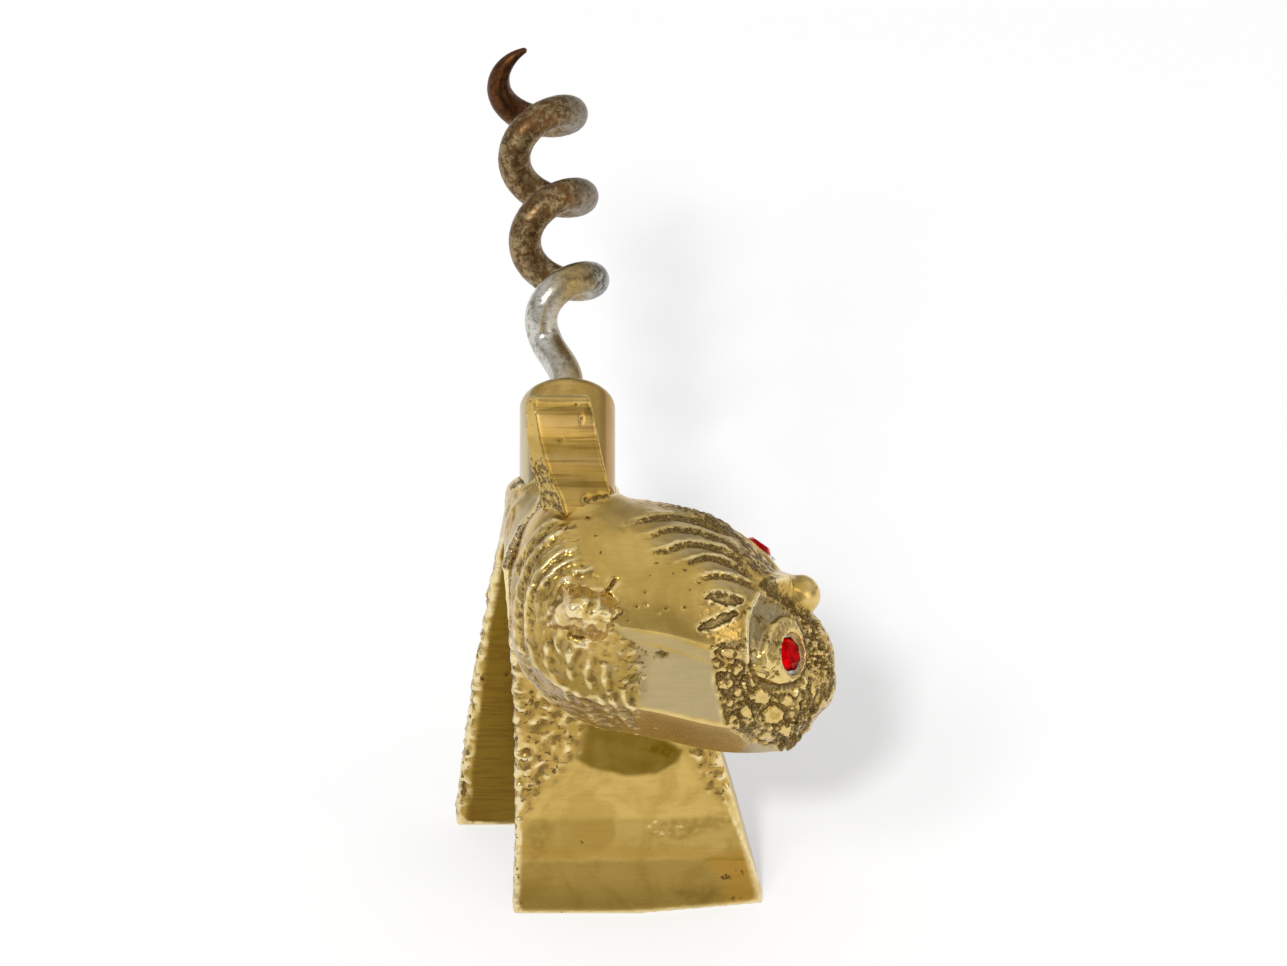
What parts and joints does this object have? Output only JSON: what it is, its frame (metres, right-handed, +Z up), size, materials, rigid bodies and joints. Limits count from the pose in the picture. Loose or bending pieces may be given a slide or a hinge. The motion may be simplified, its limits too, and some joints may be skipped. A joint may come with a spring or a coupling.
{
  "type": "corkscrew",
  "caption": "Direct-pull corkscrew in cast brass: a round-backed cat-like beast on wide leg plates, head turned aside, with a steel worm for a tail.",
  "frame": {"origin": "middle of the front foot's rest face", "axes": "+Z up from the surface that the beast stands on, +X the way its face looks, +Y from the front legs to the tail, which is the worm"},
  "size_m": [0.0409, 0.086, 0.0677],
  "materials": {
    "cast_brass": "hand polished over a rough casting, with dark patina left in the hollows",
    "ferrule_brass": "turned and polished",
    "worm_steel": "worn steel, bright at the root and rusty at the point",
    "red_glass": "cut and polished",
    "silver_foil": "dull tinned cup behind each stone",
    "braze": "dull brazing metal"
  },
  "bodies": {
    "root": {"leg_arch": "cast_brass", "head": "cast_brass", "rear_ear": "cast_brass", "front_ear": "cast_brass", "front_eye_stone": "red_glass", "rear_eye_stone": "red_glass", "front_eye_cup": "silver_foil", "rear_eye_cup": "silver_foil", "worm_ferrule": "ferrule_brass", "corkscrew_worm": "worm_steel", "worm_braze": "braze"}
  },
  "joints": []
}
